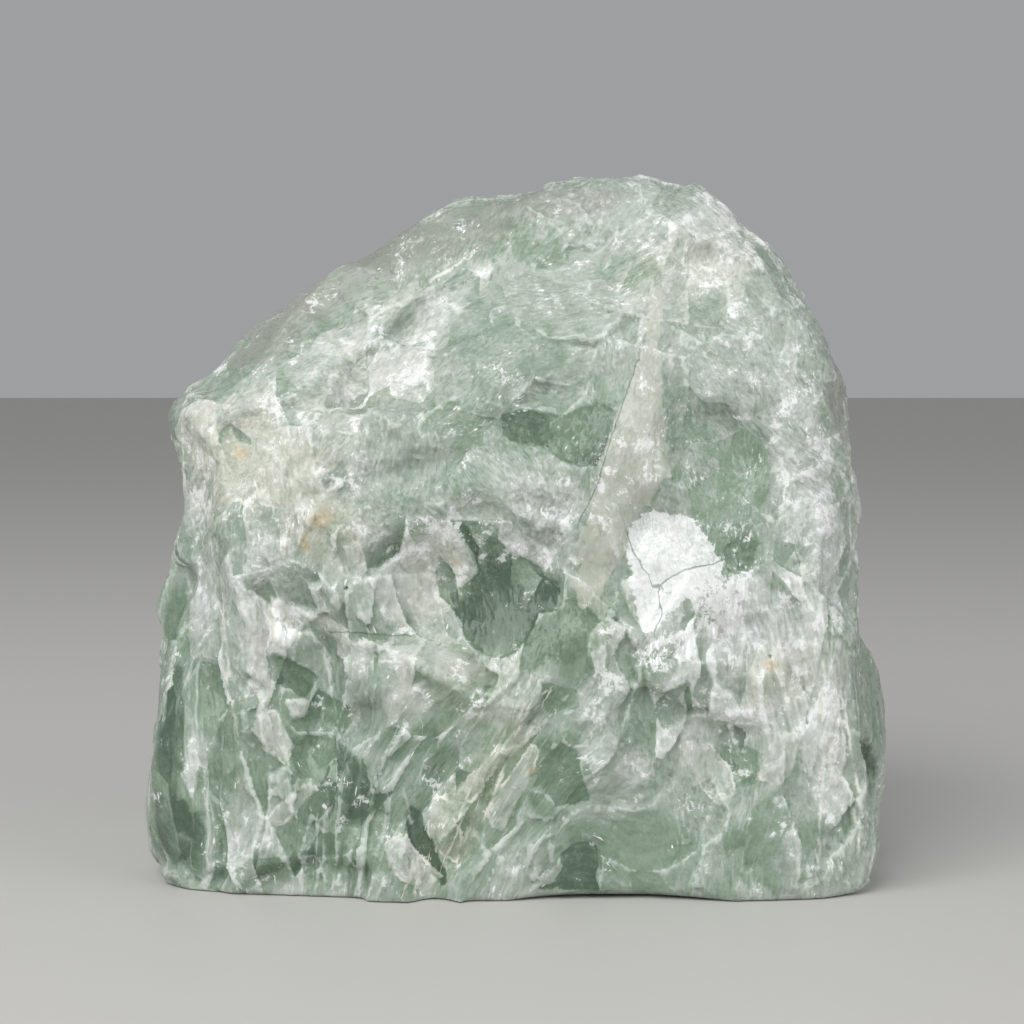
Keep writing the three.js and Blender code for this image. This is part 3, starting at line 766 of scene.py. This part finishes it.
def smooth_step(values, low, high):
    share = np.clip((values - low) / (high - low), 0, 1)
    return share * share * (3 - 2 * share)


def patches(points, marks):
    """How far inside the nearest oval mark each point lies, 1 in its middle and 0 at its border,
    and that mark's strength."""
    best = np.full(len(points), -np.inf)
    depth = np.zeros(len(points))
    for x, z, wide, tall, lean, strength in marks.values():
        across = points[:, 0] - x
        up = points[:, 2] - z
        turn = math.radians(lean)
        along = across * math.sin(turn) + up * math.cos(turn)
        aside = across * math.cos(turn) - up * math.sin(turn)
        inside = 1 - np.hypot(aside / wide, along / tall)
        depth = np.where(inside > best, strength, depth)
        best = np.maximum(best, inside)
    return np.maximum(best, -1), depth


def distance_to_line(points, line):
    """Distance on the face from each point to a line of (x, z) points, the share along it, and
    1 or -1 for the side of it that the point lies on."""
    flat = points[:, [0, 2]]
    nearest = np.full(len(points), np.inf)
    along = np.zeros(len(points))
    side = np.ones(len(points))
    for i, (start, end) in enumerate(zip(line, line[1:])):
        start, end = np.array(start[:2], float), np.array(end[:2], float)
        run = end - start
        offset = flat - start
        share = np.clip((offset @ run) / (run @ run), 0, 1)
        distance = np.hypot(*(offset - share[:, None] * run).T)
        closer = distance < nearest
        nearest = np.where(closer, distance, nearest)
        along = np.where(closer, i + share, along)
        side = np.where(closer, np.sign(run[0] * offset[:, 1] - run[1] * offset[:, 0]), side)
    return nearest, along, side


def distance_across(points, lines):
    """Distance from the nearest of a number of lines, with its sign changing across the line, so
    that it can be drawn thinner than the spacing of the points."""
    best = np.full(len(points), np.inf)
    for line in lines:
        distance, _, side = distance_to_line(points, line)
        best = np.where(distance < abs(best), distance * side, best)
    return best


def inside_outline(points, outline):
    """How far in from the border of an outline of (x, z) points each point lies, as a share of
    the reach, negative outside it."""
    distance, _, _ = distance_to_line(points, [*outline, outline[0]])
    inside = np.zeros(len(points), bool)
    x, z = points[:, 0], points[:, 2]
    for (ax, az), (bx, bz) in zip(outline, [*outline[1:], outline[0]]):
        crosses = (az > z) != (bz > z)
        inside ^= crosses & (x < ax + (z - az) * (bx - ax) / ((bz - az) or TINY))
    return np.clip(np.where(inside, distance, -distance) / OUTLINE_REACH, -1, 1)


def outlined(points, shapes):
    """How far inside any of the outlines each point lies, and the strength of that one."""
    best = np.full(len(points), -1.0)
    depth = np.zeros(len(points))
    for strength, outline in shapes.values():
        inside = inside_outline(points, outline)
        depth = np.where(inside > best, strength, depth)
        best = np.maximum(best, inside)
    return best, depth


def inside_vein(points):
    """How far inside the vein each point lies, 1 on its middle line and 0 at its border."""
    distance, along, _ = distance_to_line(points, VEIN)
    half = np.interp(along, range(len(VEIN)), [width for _, _, width in VEIN])
    return 1 - distance / half - smooth_step(points[:, 2], *VEIN_FADE) * VEIN_THINNED


def wild_patches(points, seed, count, sizes):
    """How far inside any of a number of round patches, scattered over the whole stone, each
    point lies, and the strength of that one."""
    random = np.random.default_rng(seed)
    best = np.full(len(points), -1.0)
    depth = np.zeros(len(points))
    for centre in points[random.integers(len(points), size=count)]:
        inside = 1 - np.linalg.norm(points - centre, axis=1) / random.uniform(*sizes)
        depth = np.where(inside > best, random.uniform(*WILD_STRENGTH), depth)
        best = np.maximum(best, inside)
    return best, depth


def mark_fields(mesh):
    """Writes on the skin where each kind of mark lies, and how strong it is there."""
    points = places(mesh)
    front = smooth_step(points[:, 1], *FRONT_DEPTH)
    fields = {}

    def on_front(values):
        return values * front - (1 - front)

    for name, marks, wild in (
        ("window", WINDOWS, WILD_WINDOWS),
        ("frost", FROST, WILD_FROST),
        ("beige", BEIGE, WILD_BEIGE),
    ):
        pairs = zip(patches(points, marks), wild_patches(points, *wild))
        fields[name], fields[name + " depth"] = (a * front + b * (1 - front) for a, b in pairs)
    for name, marks in (("stain", STAINS), ("shine", SHINE), ("dust", PAINTED_SHADE)):
        fields[name] = on_front(patches(points, marks)[0])
    for name, shapes in (("slab", SLABS), ("pane", PANES)):
        inside, fields[name + " depth"] = outlined(points, shapes)
        fields[name] = on_front(inside)
    fields["vein"] = on_front(inside_vein(points))
    fields["mirror"] = on_front(inside_outline(points, MIRROR))
    for name, lines in (("crack", CRACKS), ("edge", EDGES)):
        fields[name] = np.where(front > 0, distance_across(points, lines), FAR)
    calm = near_corner(points)
    for name, (low, high, share) in CALM.items():
        depth = fields.get(name + " depth", 1)
        calm = np.maximum(calm, smooth_step(fields[name], low, high) * depth * share)
    fields["calm"] = calm
    for name, values in fields.items():
        write_field(mesh, name, values)


def smoothing(mesh):
    """A function that moves each of the mesh's points to the middle of its neighbours."""
    pairs = np.empty(len(mesh.edges) * 2, int)
    mesh.edges.foreach_get("vertices", pairs)
    a, b = pairs.reshape(-1, 2).T
    size = len(mesh.vertices)
    count = np.bincount(np.concatenate([a, b]), minlength=size).clip(1)

    def smoothed(points):
        sums = [
            np.bincount(a, points[b, axis], size) + np.bincount(b, points[a, axis], size)
            for axis in range(3)
        ]
        return np.stack(sums, axis=1) / count[:, None]

    return smoothed


def near_corner(points):
    middle, reach = CORNER
    return smooth_step(np.linalg.norm(points - middle, axis=1), reach, 0)


def soften_hollows(mesh):
    """Rounds off the solid's flat faces, most of all inside the smooth hollows."""
    points = places(mesh)
    smoothed = smoothing(mesh)
    hollow, _ = patches(points, HOLLOWS)
    front = smooth_step(points[:, 1], *FRONT_DEPTH)
    share = smooth_step(hollow, *HOLLOW_EDGE) * front
    share = np.maximum(share, near_corner(points) * CORNER_SHARE)[:, None]
    for step in range(HOLLOW_PASSES):
        weight = share if step >= ROUNDING_PASSES else 1
        points = points + (smoothed(points) - points) * weight
    mesh.vertices.foreach_set("co", (points * MM).ravel())


def edge_fields(mesh):
    """Writes how far each point stands out of the skin around it, finely and broadly."""
    points = places(mesh)
    normals = np.empty(len(mesh.vertices) * 3)
    mesh.vertex_normals.foreach_get("vector", normals)
    normals = normals.reshape(-1, 3)
    smoothed = smoothing(mesh)
    soft = points
    for name, passes in zip(("rim", "brow"), RIM_PASSES):
        for _ in range(passes):
            soft = smoothed(soft)
        write_field(mesh, name, ((points - soft) * normals).sum(1))


def stone_mesh(sizes):
    """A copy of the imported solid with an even, fine skin, broken and then thinned out."""
    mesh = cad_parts[NODE].data.copy()
    welded = bmesh.new()
    welded.from_mesh(mesh)
    bmesh.ops.remove_doubles(welded, verts=welded.verts, dist=WELD)
    welded.to_mesh(mesh)
    welded.free()
    mesh.materials.clear()
    for layer in [*mesh.attributes]:
        if layer.name.startswith("UV") or layer.name == "custom_normal":
            mesh.attributes.remove(layer)
    stone = bpy.data.objects.new("fluorite_block", mesh)
    bpy.context.scene.collection.objects.link(stone)
    skin = stone.modifiers.new("Even skin", "REMESH")
    skin.mode = "VOXEL"
    skin.voxel_size = sizes.facet
    finished(stone)
    soften_hollows(stone.data)
    mark_fields(stone.data)
    breaking_modifier(stone, sizes)
    finished(stone)
    edge_fields(stone.data)
    thin = stone.modifiers.new("Thin flat parts", "DECIMATE")
    thin.ratio = min(1, sizes.triangles / (2 * len(stone.data.polygons)))
    finished(stone)
    low, high = (np.array(corner) / MM for corner in SOLID_BOX)
    kept = np.clip(places(stone.data), low, high) * MM
    stone.data.vertices.foreach_set("co", kept.ravel())
    for polygon in stone.data.polygons:
        polygon.use_smooth = True
    return stone


# ---------------------------------------------------------------------------------------------
# The stone's finish
# ---------------------------------------------------------------------------------------------

FLUORITE_IOR = 1.434
SCATTER_SHARE = 0.35
SCATTER_DEPTH = 1.6 * MM  # how far light spreads inside the stone
SCATTER_TINT = (0.75, 1.0, 0.8)
WARM_TINT = (1.04, 0.99, 0.915)  # what the warm patches do to the stone's colour
GLASS_ROUGHNESS = 0.16
METAL_SHARE = 0.5
FLAKE_SLOPE = 0.3  # how far flakes, slivers and fibres are tilted from the skin
SLIVER_SLOPE = 0.5
STRAND_SLOPE = 0.9
SMOOTH_SHARE = 0.9  # share of that tilt that a smooth face loses
FLAKE_SHADES = (1, 0.4)  # step in shade between flakes, and how it runs across each
PANE_PLAIN = 0.8  # how much less the clear panes are flaked

# The fields that the skin carries. The clouds lie about 0.5.
FIELDS = (
    "window", "window depth", "frost", "frost depth", "beige", "beige depth", "pane", "pane depth",
    "slab", "slab depth", "stain", "vein", "mirror", "crack", "edge", "shine", "dust", "rim", "brow",
)
CLOUDS = ("cloud", "broad", "patch")

# The tables below tell how much each pattern counts in a sum. A level counts as it is.
RAGGED = {"flake": 0.65, "cloud": 0.8, "fine": 0.6}
STRAND_STRENGTH = {"level": 1.15, "flaked": -0.85}

# What each kind of mark makes of the stone: its field, what frays its border, and the values
# that it sets in between.
MARKED = {
    "paned": ("pane", {"fine": 0.6, "flake": 0.1, "cloud": 0.3}, (-0.03, 0.07)),
    "clear": ("window", {"ragged": 1}, (-0.04, 0.14)),
    "raised": ("slab", {"fine": 0.4, "flake": 0.05}, (0, 0.05)),
    "bruised": ("frost", {"ragged": 1}, (-0.4, 0.45)),
    "warm": ("beige", {"ragged": 1}, (-0.35, 0.4)),
    "veined": ("vein", {"ragged": 0.6}, (-0.02, 0.1)),
    "mirrored": ("mirror", {"fine": 0.7, "flake": 0.1}, (0, 0.04)),
    # where the glittering patches lie: made metallic, with painted glitter laid on
    "shining": ("shine", {"fine": 1.2, "flake": 0.1}, (0.05, 0.3)),
    # where the darker grey of painted shade is laid on
    "painted shading": ("dust", {"ragged": 0.7}, (-0.15, 0.35)),
    "stained": ("stain", {"fine": 2.5}, (0, 0.8)),
}

# Thin lines: the field that is 0 along them, what frays them, and the values at their borders
# and in their middle.
LINES = {
    "cracked": ("crack", {"fine": 0.8}, (0.2, 0.06)),
    # The edge and slab edge lines are painted highlights along the edges of flakes.
    "painted edge highlight": ("edge", {"fine": 1, "flake": 1.2}, (0.4, 0.1)),
    "painted slab edge highlight": ("slab", {"fine": 0.4, "flake": 0.05}, (0.08, 0.03)),
}

# Patterns that set in between two values of a sum.
LAYERS = {
    "crushed": (
        {"cloud": 1.6, "grain": 0.35, "flaking": 0.6, "raised": 0.5, "bruised": 0.6, "clear": -0.6},
        (-0.5, 0.65),
    ),
    "veil": (
        {"fine": 0.8, "strand": 0.8, "patch": 0.6, "bruised": 0.16, "clear": -0.1},
        (-0.2, 0.42),
    ),
    "scratched": ({"strand": 1, "patch": 0.8, "crushed": 0.04}, (0.19, 0.25)),
    "snowy": (
        {"fine": 1.7, "patch": 1.2, "crushed": 0.08, "bruised": 0.14, "veined": 0.06,
         "shining": 0.25, "paned": 0.04},
        (0.28, 0.4),
    ),
    # Painted highlight: pale lines along the seams between flakes, where their edges catch the
    # light.
    "painted seam highlight": ({"seam": 1, "fine": 0.1}, (0.04, 0.01)),
    "brink's stretch": ({"patch": 1, "grain": 0.2}, (-0.05, 0.06)),
    # Painted glints: a few sliver cells, where the patches are strongest, are painted white and made
    # glossy.
    "glint": ({"sliver": 1, "patch": 1.4, "crushed": 0.08}, (1.08, 1.1)),
    "glint's outline": ({"from sliver": 1}, (0.36, 0.26)),
    # Painted glitter: white laid in crisp patches over the glittering patches.
    "painted glitter": ({"fine": 1, "strand": 0.5}, (-0.06, 0.03)),
    "metal": ({"fine": 1}, (0, 0.08)),
    "worn": ({"rim": 1}, (0.04, 0.14)),
    # Painted shade: the skin is darkened where it lies below the skin around it.
    "painted hollow shade": ({"brow": 1}, (-0.12, -0.7)),
}

# Sums held between 0 and 1.
SHARES = {
    "veil's strength": {"level": 0.1, "crushed": 0.62},
    "brink's flaking": {"level": -FLAKED_LEAST, "flaked": 1},
    "brink's strength": {"level": 0.45, "clear": -0.4},
    "painted shading's hold": {"level": 0.65, "fine": -1.2},
    "edge's strength": {"level": 0.4, "patch": 6},
    # painted highlight on the bright chip
    "painted chip highlight": {"level": -1, "raised": 1},
    # Painted reflection: the mirror face is painted near white, mottled by noise.
    "painted mirror reflection": {"level": 0.76, "fine": 1.2, "strand": 1.2},
    "dull": {"level": 0.34, "clear": -0.08, "fine": 0.8},
    "smooth": {"clear": 0.55, "mirrored": 1, "veined": 0.3},
}

# Patterns that are thinned out by others.
THINNED = {
    "veil": ["veil's strength"],
    "painted seam highlight": ["brink's stretch", "brink's flaking", "brink's strength"],
    "glint": ["glint's outline"],
    "painted glitter": ["shining"],
    "metal": ["shining"],
    "painted shading": ["painted shading's hold"],
    "painted edge highlight": ["edge's strength"],
    "painted mirror reflection": ["mirrored"],
}

# How cloudy the stone is, and between which values it goes from one green to the next.
GROUND = {
    "level": 0.53, "broad": 0.5, "cloud": 0.3, "grain": 0.1, "flaking": 0.24, "bruised": 0.25,
    "clear": -0.45, "fine": 0.25, "strand": 0.15, "raised": 0.35,
}
DEEP_TO_GREEN = (0.0, 0.3)
GREEN_TO_PALE = (0.2, 0.8)

# The colours laid over the greens, one after another, and what lays each of them on. Where more
# than one pattern does, the strongest counts. Some coats are painted highlights, a painted
# reflection and painted shade, as noted beside them.
COATS = (
    ("beige", {"veined": 0.5, "raised": 0.25}),
    # painted shade on the top band and the right edge
    ("dust", {"painted shading": 1}),
    # The glints, the glitter, the bright chip and the seam lines laid on here are painted
    # highlights; the scratches, snow and worn rims are the stone's own white.
    ("spark", {"scratched": 0.6, "snowy": 0.7, "painted seam highlight": 1, "glint": 1, "painted glitter": 0.9,
               "painted chip highlight": 1.3, "worn": 0.3}),
    # painted shade in the hollows
    ("deep", {"painted hollow shade": 0.25}),
    ("ochre", {"stained": 0.5}),
    # painted highlight along flake edges
    ("cream", {"painted edge highlight": 1}),
    # painted reflection on the mirror face
    ("spark", {"painted mirror reflection": 1}),
    ("deep", {"cracked": 0.6}),
)


def new_material(name):
    """An empty material, and the graph of its nodes."""
    material = bpy.data.materials.new(name)
    material.use_nodes = True
    material.node_tree.nodes.clear()
    return material, Graph(material.node_tree)


def weighed(patterns, weights):
    """The sum of patterns, each times its weight, and of a level."""
    terms = [
        weight if name == "level" else patterns[name] * weight
        for name, weight in weights.items()
    ]
    return functools.reduce(operator.add, terms)


def strongest(graph, patterns, weights):
    """The greatest of patterns, each times its weight."""
    terms = [patterns[name] * weight for name, weight in weights.items()]
    return functools.reduce(functools.partial(graph.maths, "MAXIMUM"), terms)


def broken_patterns(graph, settings):
    """The patterns of the broken stone by name, and the colours that tilt its skin."""

    def field(name, kind="Fac"):
        return graph.node("ShaderNodeAttribute", {"attribute_name": name})[kind]

    bent, run = field("bent", "Vector"), field("run", "Vector")
    grains = graph.cells(run, settings.grain)
    fibre, shard = fibre_places(graph, run, grains)
    flakes = graph.cells(shard, settings.flake)
    slivers = graph.cells(fibre, settings.grit)
    strand, strands = graph.noise(fibre, *STRANDS)
    patterns = {name: field(name) for name in FIELDS}
    patterns.update({name: field(name) - 0.5 for name in CLOUDS})
    patterns["flaked"] = flaked_share(graph, run)
    patterns["grain"] = shade(graph, grains) - 0.5
    patterns["flake"] = facet(graph, flakes, shard, *FLAKE_SHADES)
    patterns["seam"] = graph.cells(shard, settings.flake, "DISTANCE_TO_EDGE")["Distance"]
    patterns["fine"] = graph.noise(bent, *FINE)[0] - 0.5
    patterns["sliver"] = shade(graph, slivers)
    patterns["from sliver"] = slivers["Distance"]
    patterns["strand"] = (strand - 0.5) * weighed(patterns, STRAND_STRENGTH)
    patterns["ragged"] = weighed(patterns, RAGGED)
    tilts = (
        (flakes["Color"], FLAKE_SLOPE),
        (slivers["Color"], SLIVER_SLOPE),
        (strands, STRAND_SLOPE),
    )
    return patterns, tilts


def add_layers(graph, patterns):
    """Adds to the patterns what the marks and the breaks make of the stone."""
    for name, (mark, fray, edge) in MARKED.items():
        patterns[name] = graph.rise(patterns[mark] + weighed(patterns, fray), *edge)
        if mark + " depth" in patterns:
            patterns[name] = patterns[name] * patterns[mark + " depth"]
    for name, (mark, fray, edge) in LINES.items():
        across = patterns[mark] + weighed(patterns, fray)
        patterns[name] = graph.rise(graph.maths("ABSOLUTE", across), *edge)
    patterns["clear"] = graph.maths("MAXIMUM", patterns["clear"], patterns["paned"])
    patterns["flaked"] = patterns["flaked"] * (1 - patterns["paned"] * PANE_PLAIN)
    patterns["flaking"] = patterns["flake"] * patterns["flaked"]
    for name, (weights, edge) in LAYERS.items():
        patterns[name] = graph.rise(weighed(patterns, weights), *edge)
    for name, weights in SHARES.items():
        patterns[name] = graph.clamp(weighed(patterns, weights))
    patterns["painted edge highlight"] = graph.maths("MAXIMUM", patterns["painted edge highlight"], patterns["painted slab edge highlight"])
    for name, others in THINNED.items():
        for other in others:
            patterns[name] = patterns[name] * patterns[other]


def stone_colour(graph, patterns, settings):
    """The greens of the stone, with its other colours laid over them."""
    ground = weighed(patterns, GROUND)
    colour = graph.mix(graph.rise(ground, *DEEP_TO_GREEN), settings.deep, settings.green)
    colour = graph.mix(graph.rise(ground, *GREEN_TO_PALE), colour, settings.pale)
    colour = graph.mix(patterns["veil"], colour, settings.frost)
    colour = graph.mix(patterns["warm"], colour, colour * WARM_TINT)
    for name, strengths in COATS:
        colour = graph.mix(strongest(graph, patterns, strengths), colour, getattr(settings, name))
    return colour


def stone_material(settings):
    material, graph = new_material("fluorite")
    patterns, tilts = broken_patterns(graph, settings)
    add_layers(graph, patterns)
    glassy = graph.maths("MAXIMUM", patterns["mirrored"], patterns["glint"])
    bare = 1 - patterns["smooth"] * SMOOTH_SHARE
    normal = graph.node("ShaderNodeNewGeometry")["Normal"]
    for uneven, slope in tilts:
        normal = normal - (uneven - 0.5) * (bare * slope)
    shader = graph.node(
        "ShaderNodeBsdfPrincipled",
        {"subsurface_method": "BURLEY"},
        Base_Color=stone_colour(graph, patterns, settings),
        Metallic=patterns["metal"] * METAL_SHARE,
        Roughness=graph.mix(glassy, patterns["dull"], GLASS_ROUGHNESS),
        IOR=FLUORITE_IOR,
        Normal=graph.maths("NORMALIZE", normal),
        Subsurface_Weight=SCATTER_SHARE,
        Subsurface_Radius=SCATTER_TINT,
        Subsurface_Scale=SCATTER_DEPTH,
    )
    graph.node("ShaderNodeOutputMaterial", Surface=shader["BSDF"])
    return material


# ---------------------------------------------------------------------------------------------
# The stage
# ---------------------------------------------------------------------------------------------

CAMERA_PLACE = (-0.0008, -0.4524, 0.0965)
CAMERA_PITCH = 4  # degrees that the camera looks down
LENS = 83.25  # focal length in mm
FLOOR_HALF = 4.0
FLOOR_ROUGHNESS = 0.55
KEY_PLACE = (-0.42, -0.62, 0.72)
FILL_PLACE = (0.75, -0.5, 0.35)
LIGHT_SIZE = 0.8
AIM = (0, 0, 0.06)  # where the lights point


def soft_light(name, power, place):
    data = bpy.data.lights.new(name, "AREA")
    data.size = LIGHT_SIZE
    data.energy = power
    light = bpy.data.objects.new(name, data)
    light.location = place
    light.rotation_euler = (Vector(AIM) - Vector(place)).to_track_quat("-Z", "Y").to_euler()
    bpy.context.scene.collection.objects.link(light)


def floor_material(colour):
    material, graph = new_material("pale floor")
    shader = graph.node(
        "ShaderNodeBsdfPrincipled",
        Base_Color=tuple(colour),
        Roughness=FLOOR_ROUGHNESS,
    )
    graph.node("ShaderNodeOutputMaterial", Surface=shader["BSDF"])
    return material


def floor_sheet(settings):
    mesh = bpy.data.meshes.new("floor")
    sheet = bmesh.new()
    bmesh.ops.create_grid(sheet, x_segments=1, y_segments=1, size=FLOOR_HALF)
    sheet.to_mesh(mesh)
    sheet.free()
    mesh.materials.append(floor_material(settings.floor))
    floor = bpy.data.objects.new("floor", mesh)
    bpy.context.scene.collection.objects.link(floor)
    return floor


def studio_world(settings):
    """The even light from all round."""
    world = bpy.data.worlds.new("studio")
    world.use_nodes = True
    backdrop = world.node_tree.nodes["Background"]
    backdrop.inputs["Color"].default_value = (*settings.studio, 1)
    backdrop.inputs["Strength"].default_value = settings.surround
    return world


def display_camera():
    data = bpy.data.cameras.new("camera")
    data.lens = LENS
    camera = bpy.data.objects.new("camera", data)
    camera.location = CAMERA_PLACE
    camera.rotation_euler = (math.radians(90 - CAMERA_PITCH), 0, 0)
    bpy.context.scene.collection.objects.link(camera)
    return camera


class FLUORITE_OT_stone(bpy.types.Operator):
    """Build the stone: its broken skin and its finish"""

    bl_idname = "fluorite.stone"
    bl_label = "Stone"

    def execute(self, context):
        settings = context.scene.fluorite_stone
        stone = stone_mesh(settings)
        stone.data.materials.append(stone_material(settings))
        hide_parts(NODE)
        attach(stone, BODY)
        return {"FINISHED"}


class FLUORITE_OT_stage(bpy.types.Operator):
    """Set up the floor, the lights and the camera"""

    bl_idname = "fluorite.stage"
    bl_label = "Stage"

    def execute(self, context):
        scene = context.scene
        settings = scene.fluorite_stage
        floor = floor_sheet(settings)
        soft_light("key light", settings.key, KEY_PLACE)
        soft_light("fill light", settings.fill, FILL_PLACE)
        scene.world = studio_world(settings)
        scene.view_settings.view_transform = "Standard"
        scene.camera = display_camera()
        return {"FINISHED"}


class FLUORITE_PT_parts(bpy.types.Panel):
    """The stone and its stage"""

    bl_idname = "FLUORITE_PT_parts"
    bl_label = "Fluorite"
    bl_space_type = "VIEW_3D"
    bl_region_type = "UI"
    bl_category = "Fluorite"

    def draw(self, context):
        for action, settings in (
            (FLUORITE_OT_stone, context.scene.fluorite_stone),
            (FLUORITE_OT_stage, context.scene.fluorite_stage),
        ):
            for name in settings.__annotations__:
                self.layout.prop(settings, name)
            self.layout.operator(action.bl_idname)


CLASSES = (StoneSettings, StageSettings, FLUORITE_OT_stone, FLUORITE_OT_stage, FLUORITE_PT_parts)


def register():
    for made in CLASSES:
        bpy.utils.register_class(made)
    bpy.types.Scene.fluorite_stone = bpy.props.PointerProperty(type=StoneSettings)
    bpy.types.Scene.fluorite_stage = bpy.props.PointerProperty(type=StageSettings)


def unregister():
    del bpy.types.Scene.fluorite_stone
    del bpy.types.Scene.fluorite_stage
    for made in reversed(CLASSES):
        bpy.utils.unregister_class(made)


def main():
    register()
    bpy.ops.fluorite.stone()
    bpy.ops.fluorite.stage()


if __name__ == "__main__":
    main()
